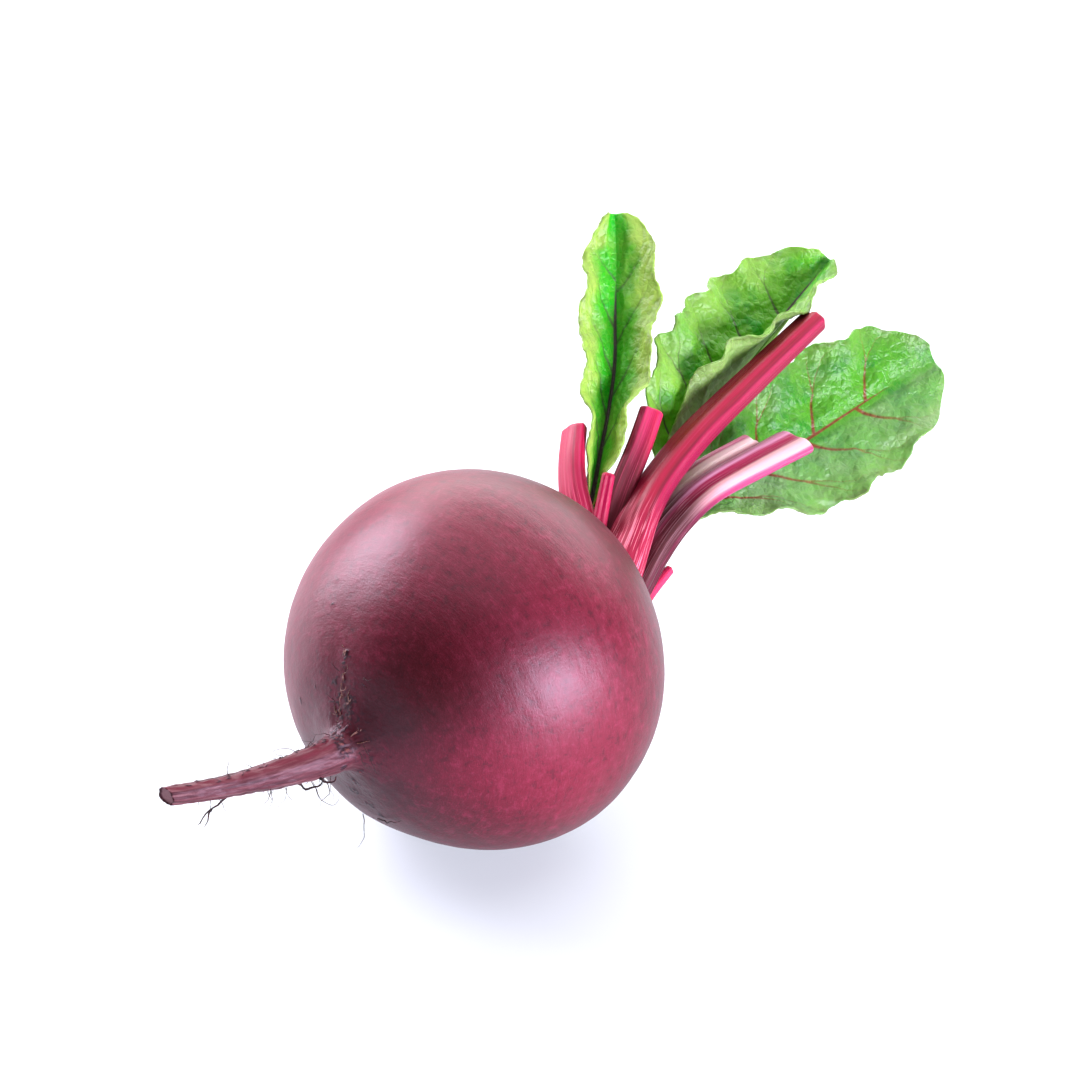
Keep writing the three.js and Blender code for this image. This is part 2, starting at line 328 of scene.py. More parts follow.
# Colours of the root at shares from 0 to 1: the skin from light to dark, the bark, and the flakes on scars.
SKIN = ((0.0, "#640a22"), (0.5, "#4c0216"), (1.0, "#340007"))
BARK = ((0.3, "#20080e"), (0.43, "#3c1018"), (0.54, "#54262e"), (0.7, "#7c5458"))
FLAKES = ((0.4, "#14040a"), (0.6, "#2c0c16"), (0.74, "#5c2c2c"), (0.88, "#905c4c"))

# Where the band of painted shade and the red seam of the tap root run, in turns round the axis.
SHADE_BAND_TURN = 0.112
SEAM_TURN = 0.03

SKIN_RELIEF = 0.0002  # metres, as are the next two
STEM_RELIEF = 0.00022
LEAF_RELIEF = 0.0002


def skin_finish():
    """The root's skin: crimson, and darker towards the crown, with painted shade below, where it rests on the
    floor, and in a band on the side that faces the camera beside the tap root, with fine threads round its
    axis, a brown bark on the tap root, and dark flakes on its scars."""
    finish = Finish("root_skin", IOR=1.4, Specular_Tint=(1, 0.84, 1, 1))
    east, north, arc = finish.layer(SPOT)
    cork, tap, crown = finish.layer(MARKS)
    body = finish.node("ShaderNodeTexCoord", {}, {}, "Object")
    cloud = finish.grain(body, 28, 3)
    mottle = finish.grain(body, 480, 5, 0.75)
    streaks = finish.grain(finish.vector(east * 7, north * 7, arc * 1.1), 1.0, 4, 0.65)
    dashes = finish.grain(finish.vector(east * 24, north * 24, arc * 3), 1.0, 3, 0.6)
    crust = finish.grain(body, 900, 4, 0.7)
    angle = north.turned(east)

    # painted shade: a dark band down the lower skin, on the side that faces the camera, between the two lit
    # sides
    shade_band = (1 - (angle + SHADE_BAND_TURN).size().step(0.02, 0.13)) * arc.step(44, 96)
    shoulder = (1 - arc.step(30, 72)) * 0.75
    # painted shade: darker below, where the root rests on the floor
    under = (east * -1).step(0.1, 0.7) * 0.5
    depth = shade_band * 0.7 + shoulder + under + arc.step(80, 100) * 0.3 + (cloud - 0.5) * 0.8
    patchy = 1 - shade_band * 0.7
    colour = finish.ramp(depth, SKIN)
    colour = finish.tint(streaks.step(0.5, 0.8) * patchy * 0.26, colour, "#8c1c3c")
    colour = finish.tint((1 - streaks.step(0.25, 0.46)) * 0.36, colour, "#28030a")
    colour = finish.tint(dashes.step(0.52, 0.74) * patchy * 0.14, colour, "#98405c")
    colour = finish.tint(mottle.step(0.5, 0.7) * patchy * 0.3, colour, "#8c2846")
    colour = finish.tint((1 - mottle.step(0.32, 0.48)) * 0.46, colour, "#200206")
    colour = finish.tint(arc.step(94, 112) * 0.4, colour, "#260610")

    bark = finish.ramp(finish.grain(finish.vector(east * 3, north * 3, arc * 0.1), 1.0, 5, 0.65), BARK)
    seam = 1 - (angle + SEAM_TURN).size().step(0.03, 0.11)
    bark = finish.tint(seam * 0.75, bark, "#5c0c1e")
    colour = finish.blend(tap * 0.9, colour, bark)
    colour = finish.tint(arc.step(CUT_START, CUT_START + 0.5) * 0.8, colour, "#94666c")

    flakes = finish.ramp(crust * 0.7 + cork * 0.35, FLAKES)
    colour = finish.tint(cork.step(0.06, 0.4) * 0.5, colour, "#2c0a14")
    colour = finish.blend(cork.step(0.22, 0.5), colour, flakes)
    colour = finish.tint(crown * crust.step(0.3, 0.7) * 0.8, colour, "#5c3c30")
    roughness = 0.36 + streaks * 0.06 + mottle * 0.06 + cork * 0.15 + tap * 0.1 + crown * 0.15
    height = streaks * 0.2 + dashes * 0.14 + mottle * 0.4 + crust * (cork + crown * 0.6 + tap * 0.4)
    return finish.done(colour, roughness, height, SKIN_RELIEF)


def stem_finish(name, bands, base_colour_and_shade, shade, streak, cut_colour, streaky=0.5, base_streaky=0):
    """A stem's skin. Bands are colours at the angles round it, in degrees from -180 to 180, where 90 faces the
    heart of the plant. Streaks of a paler and of a darker colour run along it. Its base has a darker colour,
    partly its own and partly painted shade of the crevice at the crown, with pink threads, and its cut end has
    a colour of its own."""
    finish = Finish(name, IOR=1.32, Subsurface_Weight=0.06, Subsurface_Scale=0.002)
    east, north, along = finish.layer(SPOT)
    _, cut, base = finish.layer(MARKS)
    body = finish.node("ShaderNodeTexCoord", {}, {}, "Object")
    wander = finish.grain(finish.vector(east, north, along * 0.035), 1.4, 2) - 0.5
    threads = finish.grain(finish.vector(east * 4.5, north * 4.5, along * 0.02), 1.0, 4, 0.6)
    fine = finish.grain(finish.vector(east * 13, north * 13, along * 0.07), 1.0, 3, 0.6)
    pith = finish.grain(body, 1400, 3, 0.6)

    around = north.turned(east) + wander * 0.05 + 0.5
    colour = finish.ramp(around, [((angle + 180) / 360, code) for angle, code in bands])
    # painted shade, in part: the base colour darkens the stem near the crown, most on the striped and dark
    # stems
    colour = finish.tint(base * 0.95, colour, base_colour_and_shade)
    colour = finish.tint((1 - threads.step(0.34, 0.48)) * streaky, colour, shade)
    colour = finish.tint(threads.step(0.52, 0.68) * streaky * 0.8, colour, streak)
    colour = finish.tint(fine.step(0.55, 0.68) * streaky * 0.5, colour, streak)
    colour = finish.tint(base * fine.step(0.52, 0.6) * base_streaky, colour, "#f08ca0")
    colour = finish.blend(cut, colour, finish.tint(pith.step(0.35, 0.7), paint(shade), cut_colour))
    roughness = 0.33 + fine * 0.16 + cut * 0.1 + base * 0.25
    height = threads * 0.6 + fine * 0.35 + pith * cut * 0.5
    return finish.done(colour, roughness, height, STEM_RELIEF)


def leaf_finish(name, green, deep, edge, edge_from, edge_amount, vein, sheen_colour, sheen_side, sheen_amount):
    """A blade: light green with deeper patches between coloured veins, a paler rim that starts at a share of
    the way out and has rusty spots, a pale underside, and a painted sheen: a pale reflection in patches and on
    the half that its side argument names, -1 for the right and 1 for the left."""
    finish = Finish(
        name, IOR=1.4, Subsurface_Weight=0.4, Subsurface_Scale=0.0012, Subsurface_Radius=(0.6, 1, 0.3)
    )
    _, v, out = finish.layer(SPOT)
    stout, rim, under = finish.layer(MARKS)
    body = finish.node("ShaderNodeTexCoord", {}, {}, "Object")
    patches = finish.grain(body, 95, 4, 0.6)
    fine = finish.grain(body, 420, 3)
    cloud = finish.grain(body, 100, 4)
    net = finish.cells(body, 800)

    colour = finish.tint((patches + fine * 0.3).step(0.6, 0.76), paint(green), deep)
    # painted sheen: a pale reflection laid on one half of the blade and in soft patches
    sheen = (v * sheen_side).step(0.02, 0.2) * sheen_amount * (cloud + 0.4) + cloud.step(0.5, 0.64) * 0.3
    colour = finish.tint(sheen * 0.9, colour, sheen_colour)
    margin = (out + cloud * 0.6 + fine * 0.4 - 0.5).step(edge_from, edge_from + 0.5)
    colour = finish.tint(margin * edge_amount, colour, edge)
    colour = finish.tint((1 - net.step(0.0, 0.1)) * 0.14, colour, edge)
    colour = finish.tint(under * 0.7, colour, "#7c9458")
    rust = rim * finish.grain(body, 330, 2).step(0.46, 0.62)
    colour = finish.tint(rust * 0.5, colour, "#4c541c")
    colour = finish.tint(stout.step(0.12, 0.55) * (0.92 - under * 0.8), colour, vein)
    height = net.step(0.0, 0.25) * 0.3 + fine * 0.9 + patches * 0.6
    return finish.done(colour, 0.4 + patches * 0.14, height, LEAF_RELIEF)


# The storage root

# The outline, from the crown to the cut tip: distance along the axis from the widest part, and radius.
ROOT_OUTLINE = Path(
    Vector((radius, along, 0))
    for along, radius in (
        (38, 0),
        (37.4, 6),
        (35.2, 12),
        (30.4, 19.2),
        (23, 28.4),
        (13, 35.8),
        (2, BULB_RADIUS),
        (-9, 38.2),
        (-19, 34.6),
        (-28, 27.9),
        (-34.5, 19.2),
        (-38.3, 10),
        (-41.2, 4.5),
        (-46, 3.5),
        (-52, 3.1),
        (-64, 2.3),
        (TAP_END + 0.5, 1.9),
        (TAP_END + 0.1, 1.75),
        (TAP_END, 1.2),
        (TAP_END, 0),
    )
)

CUT_START = ROOT_OUTLINE.length - CUT_SKIN  # how far along the outline the cut face of the tap root starts

# Corky scars where rootlets grew: distance along the axis, degrees round from the top, and size.
SCARS = (
    (-35, 11, 1.0),
    (-37, 24, 0.8),
    (-38.3, 2, 1.1),
    (-39.1, -5, 0.9),
    (-37.1, 51, 0.5),
    (-36.1, 80, 0.6),
    (-41.4, 13, 0.8),
    (-42.7, -11, 0.9),
    (-43.5, -38, 0.9),
    (-42.8, -58, 1.2),
    (-45.3, 16, 0.7),
    (-47.5, 24, 0.8),
    (-49.7, 28, 0.7),
    (-61, 8, 0.6),
    (-64.9, -11, 0.5),
    (-72.2, -8, 0.6),
    (-44.1, 247, 0.8),
    (-40.4, 225, 0.8),
    (-38.9, 185, 0.9),
    (-37.3, 174, 1.1),
    (-36.2, 187, 1.0),
    (-34.9, 190, 0.8),
    (-32.2, 178, 0.6),
)
SMALL_SCARS = 16
NEAR_SCARS = 3  # how many of the nearest scars can share a spot


def wrapped(radians):
    """The same angle between half a turn back and half a turn on."""
    return math.atan2(math.sin(radians), math.cos(radians))


def furrow_depth(along, angle):
    """Two furrows run from the belly down into the tap root: the rows that rootlets grow from."""
    strength = smooth(-along, 4, 30) * (1 - 0.8 * smooth(-along, TAP_FROM, TAP_TO))
    apart = [wrapped(angle - math.radians(degrees)) for degrees in FURROW_ANGLES]
    return strength * FURROW_DEPTH * sum(hump(a, FURROW_SPREAD) for a in apart)


def lobes(along, angle):
    """The slow unevenness of a grown root, which is never quite round, and a little flatter below."""
    belly = 1 - smooth(abs(along), 26, 40)
    below = 0.5 - 0.5 * math.cos(angle - math.radians(8))
    flatter = (0.04 - 0.0009 * along) * below**6
    uneven = 0.006 * math.cos(2 * angle - 0.9) + 0.006 * math.cos(3 * angle + 1.3)
    return 1 + belly * (uneven + 0.004 * math.cos(5 * angle + 0.09 * along) - flatter)


def spine(along):
    """The middle of the root at a distance along its axis. The tap root sways off the axis."""
    share = max(0, (TAP_START - along) / (TAP_START - TAP_END)) ** TAP_SWAY_POWER
    return BULB_CENTRE + AXIS * along + AXIS_LEFT * (share * TAP_SWAY_LEFT) + AXIS_UP * (share * TAP_SWAY_UP)


def skin_point(along, angle, skin):
    """The place at a distance from the spine, at an angle from the top."""
    return spine(along) + AXIS_UP * (skin * math.cos(angle)) + AXIS_LEFT * (skin * math.sin(angle))


def outline_radius(along):
    """The outline's radius at a distance along the axis."""
    low, high = 0.0, 1.0
    for _ in range(OUTLINE_HALVINGS):
        middle = (low + high) / 2
        if ROOT_OUTLINE.at(middle).y > along:
            low = middle
        else:
            high = middle
    return ROOT_OUTLINE.at(low).x


def scar_places():
    """A tree of the scars' places on the skin, the ones that stand out and small ones scattered along the two
    furrows, and their sizes."""
    draw = random.Random(SCAR_SEED)
    scars = list(SCARS)
    for _ in range(SMALL_SCARS):
        along = -24 - 48 * draw.random() ** 1.4
        degrees = draw.choice(FURROW_ANGLES) + draw.gauss(0, 14)
        scars.append((along, degrees, draw.uniform(0.25, 0.55)))
    tree = KDTree(len(scars))
    for i, (along, degrees, _) in enumerate(scars):
        tree.insert(skin_point(along, math.radians(degrees), outline_radius(along)), i)
    tree.balance()
    return tree, [size for _, _, size in scars]


SCAR_TREE, SCAR_SIZES = scar_places()


def scar_strength(at):
    near = SCAR_TREE.find_n(at, NEAR_SCARS)
    return min(1, sum(hump(gap / SCAR_SIZES[i], 1) for _, i, gap in near))


def root_place(across, along_share):
    """Where a vertex of the root goes, its spot round and along the skin, and its marks: how corky it is, how
    much of it is tap root, and how much of it is crown."""
    profile = ROOT_OUTLINE.at(along_share)
    radius, along = max(0, profile.x), profile.y
    angle = TURN * across
    arc = along_share * ROOT_OUTLINE.length
    east, north = math.cos(angle), math.sin(angle)
    tap = smooth(-along, TAP_FROM, TAP_TO)
    crown = smooth(along, CROWN_FROM, CROWN_TO)
    pole = smooth(radius, 0, 3) if along > 0 else smooth(radius, 0, 1.6)
    level = skin_point(along, angle, radius)
    scar = scar_strength(level + shaken(level * 1.2, 7) * 0.9)
    unrolled = Vector((east * radius, north * radius, arc))
    crumb = noise.noise(unrolled * 1.3)
    row = sum(hump(wrapped(angle - math.radians(degrees)), 0.5) for degrees in FURROW_ANGLES)
    flake = smooth(crumb + 0.3 * noise.noise(unrolled * 3), 0.12, 0.4)
    flaky = flake * row * smooth(-along, 30, 39) * (1 - 0.5 * tap)
    facing = smooth(math.cos(angle - math.radians(320)), -0.2, 0.6)
    collar = hump(along + 40, 3.2) * smooth(crumb, -0.05, 0.4) * facing
    cork = min(1, scar * (0.8 + 0.9 * crumb) + 0.25 * flaky + 0.4 * collar)

    neck = smooth(-along, 12, 34) * (1 - 0.6 * tap)
    relief = neck * 0.1 * round_axis(east * 6, north * 6, arc * 0.16)
    relief += (1 - tap) * 0.05 * round_axis(east * 6, north * 6, arc * 0.4)
    relief += tap * 0.3 * round_axis(east * 2.2, north * 2.2, arc * 0.09)
    relief += tap * 0.2 * round_axis(east * 2.4, north * 2.4, arc * 0.7)
    relief += crown * 0.8 * round_axis(east * 4.5, north * 4.5, arc * 0.32)
    relief += crown * 0.3 * math.sin(TURN * arc / 2.7 + 2 * round_axis(east * 2, north * 2, 0))
    relief += scar * (0.22 + 0.45 * crumb) + flaky * 0.1
    skin = radius * lobes(along, angle) + pole * (relief - furrow_depth(along, angle))
    at = skin_point(along, angle, skin)
    at.z = max(at.z, 0)  # it rests on the ground
    return at, (east, north, arc), (cork, tap, crown)


def make_root(finish):
    shape = new_shape()
    lay_out(shape, ROOT_GRID, root_place)
    close_seams(shape)
    finish_piece("whole_root", shape, finish, "root_skin", "storage_root")


# Rootlets


# Rootlets that the eye picks out, each with its radius at the root and the places it passes through.
ROOTLETS = (
    (0.42, ((-57.6, 2.6, 35.6), (-59.7, 4.3, 35), (-61.4, 5.6, 34.6), (-63.1, 6.9, 34), (-65.2, 8.4, 33.3),
            (-66.9, 9.1, 32.1), (-68.6, 9.4, 30.5), (-70.2, 9.6, 29.9), (-71.1, 9.7, 29.2))),
    (0.26, ((-67.4, 9.2, 31.7), (-68.2, 9.3, 29.9), (-69, 9.5, 28.1))),
    (0.4, ((-53.2, 2.8, 34.4), (-52, 1.8, 32.6), (-50.6, 0.5, 31.5), (-48.7, -0.4, 31.6),
           (-46.7, -0.6, 32.8))),
    (0.36, ((-48.2, -0.6, 33.2), (-47, -1.9, 31.6), (-45.8, -2.4, 31.7), (-44.9, -2.2, 32.6))),
    (0.12, ((-46.9, -1.1, 32.2), (-47.4, -2.8, 30.4), (-49.2, -2.6, 29.6), (-50.7, -2.7, 28.8))),
    (0.12, ((-49.6, 0.2, 33), (-49.3, -1.4, 30.1), (-48.7, -2.4, 28.3), (-47.4, -3.4, 27.4),
            (-45.7, -3.7, 27.8), (-44.7, -2.9, 28.7))),
    (0.1, ((-48.6, 1.6, 37.2), (-49.5, 2.1, 37.9), (-51.1, 3.3, 39), (-53, 4.6, 39.9), (-55.1, 5.3, 39.9),
           (-57, 5.4, 39.2))),
    (0.12, ((-57.4, 2.9, 34.6), (-59, 2.7, 32.8), (-60.7, 2.7, 31.6))),
    (0.12, ((-68.4, 10.4, 35), (-69.2, 10.8, 33.2), (-69.4, 10.2, 32.4))),
    (0.12, ((-29.9, 5.2, 13), (-31.4, 3.6, 11.4), (-32, 3, 9.6), (-32.8, 3.4, 7.6), (-33.6, 4.2, 6.6))),
    (0.1, ((-40.4, -5.2, 38.8), (-40.5, -6.6, 36.8), (-40, -7.9, 34.2), (-39.4, -8.6, 32.4))),
    (0.1, ((-41.2, -5, 37.4), (-41.4, -5.8, 35.4), (-41, -6.3, 33.6))),
    (0.18, ((-33.4, -1.8, 16.6), (-34, -4.4, 17.3), (-34.2, -6.6, 18.3), (-34.3, -9.2, 19.9))),
)
FINE_HAIRS = 34
CURLS = 14
CURL_POINTS = 4
CURL_STEP = 0.5


def hair(shape, radius, points):
    """A thin root along points, drawn out to a fine end."""
    path = Path(points)

    def place(across, along):
        angle = TURN * across
        ahead = path.ahead(along)
        side = ahead.cross(Vector((0.3, 0.2, 1))).normalized()
        thick = radius * (1 - 0.75 * along) * math.sin(math.pi * min(1, 0.02 + along * 12) / 2)
        thick *= 1 if along < 1 else 0
        reach = side * math.cos(angle) + side.cross(ahead) * math.sin(angle)
        at = path.at(along)
        sway = shaken(at * 0.55, 9) * 0.7 * smooth(along, 0, 0.3)
        return at + sway + reach * thick, (math.cos(angle), math.sin(angle), along), (1, 1, 0)

    lay_out(shape, HAIR_GRID, place)


def make_rootlets(finish):
    shape = new_shape()
    for radius, points in ROOTLETS:
        hair(shape, radius, points)
    draw = random.Random(HAIR_SEED)
    for _ in range(FINE_HAIRS):
        along = draw.uniform(-72, -36)
        angle = math.radians(draw.choice(FURROW_ANGLES) + draw.gauss(0, 16))
        start = skin_point(along, angle, outline_radius(along) - 0.3)
        out = (skin_point(along, angle, 1) - spine(along)) * draw.uniform(0.6, 1.2)
        out -= AXIS * draw.uniform(0, 0.7)
        points = [start]
        for _ in range(3):
            out += Vector((draw.gauss(0, 0.35), draw.gauss(0, 0.35), draw.gauss(-0.15, 0.3)))
            points.append(points[-1] + out)
        hair(shape, draw.uniform(0.05, 0.11), points)
    close_seams(shape)
    finish_piece("rootlets", shape, finish, "root_skin")


def make_curls(finish):
    """Dry curls where rootlets broke off, above the tap root, and straighter torn fibres beside it."""
    shape = new_shape()
    draw = random.Random(CURL_SEED)
    for _ in range(CURLS):
        fibre = draw.random() < 0.3
        if fibre:
            along, degrees = -41, draw.uniform(290, 335)
        else:
            along, degrees = draw.uniform(-41, -34), draw.gauss(12, 9)
        turn = draw.uniform(-0.4, 0.4) if fibre else draw.uniform(0, TURN)
        points = []
        for _ in range(CURL_POINTS):
            proud = outline_radius(along) + draw.uniform(0.1, 0.5)
            points.append(skin_point(along, math.radians(degrees), proud))
            turn += draw.gauss(0, 0.2 if fibre else 1.1)
            along += CURL_STEP * math.cos(turn)
            degrees += CURL_STEP * math.degrees(math.sin(turn) / max(4, outline_radius(along)))
        hair(shape, draw.uniform(0.1, 0.24), points)
    close_seams(shape)
    finish_piece("dry_curls", shape, finish, "root_skin")


# Stems and the stalks of leaves


class Stem:
    """A stem runs along a path. It is broad and clasping where it leaves the crown, hollowed on its inner side
    and ribbed. Its tip is the share of its width that is left at the far end. Its cut end is rounded, and may
    slant."""

    BODY = 0.9  # the share of the rows that the sides take, before the cut end
    CUT = 0.4  # the share of the rows of the cut end that round its edge
    BASE = 0.6  # the share of the base's reach that has the full colour of the base

    HOLLOW = 0.3  # the depth of the hollow as a share of the thickness

    def __init__(self, path, inner, wide, thick, tip=0.85, clasp=0.5, slant=0, base_reach=16, round_end=0.7):
        self.path = Path(path)
        self.inner = Vector(inner).normalized()
        self.wide, self.thick, self.tip, self.clasp = wide, thick, tip, clasp
        self.slant, self.base_reach, self.round_end = slant, base_reach, round_end

    def halves(self, t):
        """Half the width and half the thickness at a share t of the length."""
        taper = mix(1, self.tip, t)
        clasp = self.clasp * hump(t * self.path.length, CLASP_REACH)
        return self.wide / 2 * (taper + clasp), self.thick / 2 * (taper + 0.8 * clasp)

    def frame(self, t):
        """The place at t, and which way is along, inwards to the heart of the plant, and sideways."""
        ahead = self.path.ahead(t)
        inwards = (self.inner - ahead * self.inner.dot(ahead)).normalized()
        return self.path.at(t), ahead, inwards, ahead.cross(inwards)

    def place(self, across, along):
        bevel = self.round_end / self.path.length
        cap = max(0, (along - self.BODY) / (1 - self.BODY))
        t = min(1, along / self.BODY) * (1 - bevel)
        at, ahead, inwards, sideways = self.frame(t)
        half_wide, half_thick = self.halves(t)
        angle = TURN * across
        x, z = math.cos(angle), math.sin(angle)
        fibre = noise.noise(Vector((x * 3.2, z * 3.2, t * self.path.length * 0.02)) + self.inner * 9)
        rib = 1 + STEM_RIB * (math.cos(6 * angle) + 1.6 * fibre)
        groove = self.HOLLOW * hump(x, 0.55) if z > 0 else 0
        turn = math.pi / 2 * min(1, cap / self.CUT)
        drawn = self.round_end * (1 - math.cos(turn))
        inside = 1 - smooth(cap, self.CUT, 1)
        if along == 0 or along == 1:
            inside = 0
        wide = max(0, half_wide * rib - drawn) * inside
        deep = max(0, half_thick * rib - drawn) * inside
        forward = self.round_end * math.sin(turn) - 0.25 * smooth(cap, 0.5, 0.9)
        forward += self.slant * x * inside * t**6
        at = at + sideways * (x * wide) + inwards * (z * deep * (1 - groove)) + ahead * forward
        base = 1 - smooth(t * self.path.length, self.BASE * self.base_reach, self.base_reach)
        return at, (x, z, t * self.path.length), (0.5 + 0.5 * fibre, smooth(cap, 0.3, 0.5), base)

    def shape(self):
        shape = new_shape()
        lay_out(shape, STEM_GRID, self.place)
        close_seams(shape)
        return shape


STEMS = {
    "stem_long": {
        "wide": 10,
        "thick": 7.6,
        "tip": 0.72,
        "clasp": 0.5,
        "base_reach": 27,
        "inner": (-0.35, 0.45, 0.82),
        "path": (
            (29.4, -6.4, 38.7),
            (36.4, -5.4, 43.2),
            (41.4, -4.3, 46.8),
            (47.9, -2.7, 51.2),
            (55.7, -1.7, 55.6),
            (67.4, -1.9, 61.1),
            (84.4, -2.9, 67.1),
            (104.3, -4.5, 74.2),
        ),
    },
    "stem_bowed": {
        "wide": 9.4,
        "thick": 5,
        "clasp": 0.3,
        "base_reach": 26,
        "inner": (0.7, -0.3, -0.2),
        "path": (
            (30.6, 2.8, 38.7),
            (36.8, 4.5, 44),
            (40.2, 7.6, 48.7),
            (42.9, 11.4, 53.2),
            (46.6, 14.8, 57.4),
            (51.4, 18, 61.6),
        ),
    },
    "stem_striped_near": {
        "wide": 6.6,
        "thick": 4.2,
        "tip": 1.25,
        "clasp": 0.15,
        "slant": 1.4,
        "base_reach": 44,
        "inner": (-0.4, -0.1, 1),
        "path": (
            (30.4, -7.9, 33.7),
            (37, -8.8, 38.2),
            (44.7, -8.1, 43.6),
            (53.4, -7.4, 47.6),
            (63.9, -7.6, 50.6),
            (76.9, -10, 52.4),
            (88.4, -12.4, 53.8),
        ),
    },
    "stem_striped_far": {
        "wide": 6.4,
        "thick": 4.2,
        "tip": 1,
        "clasp": 0.3,
        "base_reach": 46,
        "inner": (-0.4, 0, 1),
        "path": (
            (30.4, -1.4, 32.7),
            (37.9, -1.4, 35.8),
            (49.9, -0.4, 42.5),
            (59.4, -0.2, 47.4),
            (69.4, -1.2, 50.2),
            (84.7, -3.6, 51.8),
        ),
    },
    "stem_dark": {
        "wide": 5.8,
        "thick": 4.4,
        "clasp": 0.3,
        "base_reach": 44,
        "inner": (-0.4, -0.5, 0.6),
        "path": (
            (31.4, -0.4, 36.7),
            (36.4, 0.6, 40.6),
            (40.6, 1.5, 45.8),
            (45.2, 2.1, 50.7),
            (49.8, 2.9, 55.6),
            (55.4, 3.8, 61.1),
            (61, 5.1, 66.8),
        ),
    },
    "stem_stub_heart": {
        "wide": 3,
        "thick": 2.8,
        "clasp": 0.2,
        "inner": (-0.5, -0.5, 0.6),
        "path": (
            (34.4, -0.4, 39.7),
            (37.4, 0.5, 44),
            (39.2, 1.4, 49.7),
            (41.7, 2.1, 55.2),
            (43.8, 2.6, 59.8),
        ),
    },
    "stem_stub_low_right": {
        "wide": 3.6,
        "thick": 2.8,
        "clasp": 0.4,
        "inner": (0, 0.7, 0.7),
        "path": ((30.4, -8.9, 28.7), (36.4, -9.2, 32), (42.9, -8.6, 35.2), (50.4, -8.4, 38.2)),
    },
    "stem_stub_low_left": {
        "wide": 6,
        "thick": 4.2,
        "clasp": 0.4,
        "inner": (0, -0.7, 0.7),
        "path": ((30.4, 7.6, 29.2), (37.4, 9.1, 28.7), (46.4, 12.1, 29.7)),
    },
    "stem_stub_far": {
        "wide": 6.4,
        "thick": 4.4,
        "clasp": 0.4,
        "inner": (0, 0, 1),
        "path": ((30.4, -0.4, 25.2), (37.4, 0.1, 24.2), (45.4, 1.1, 23.7)),
    },
}


# Leaf blades


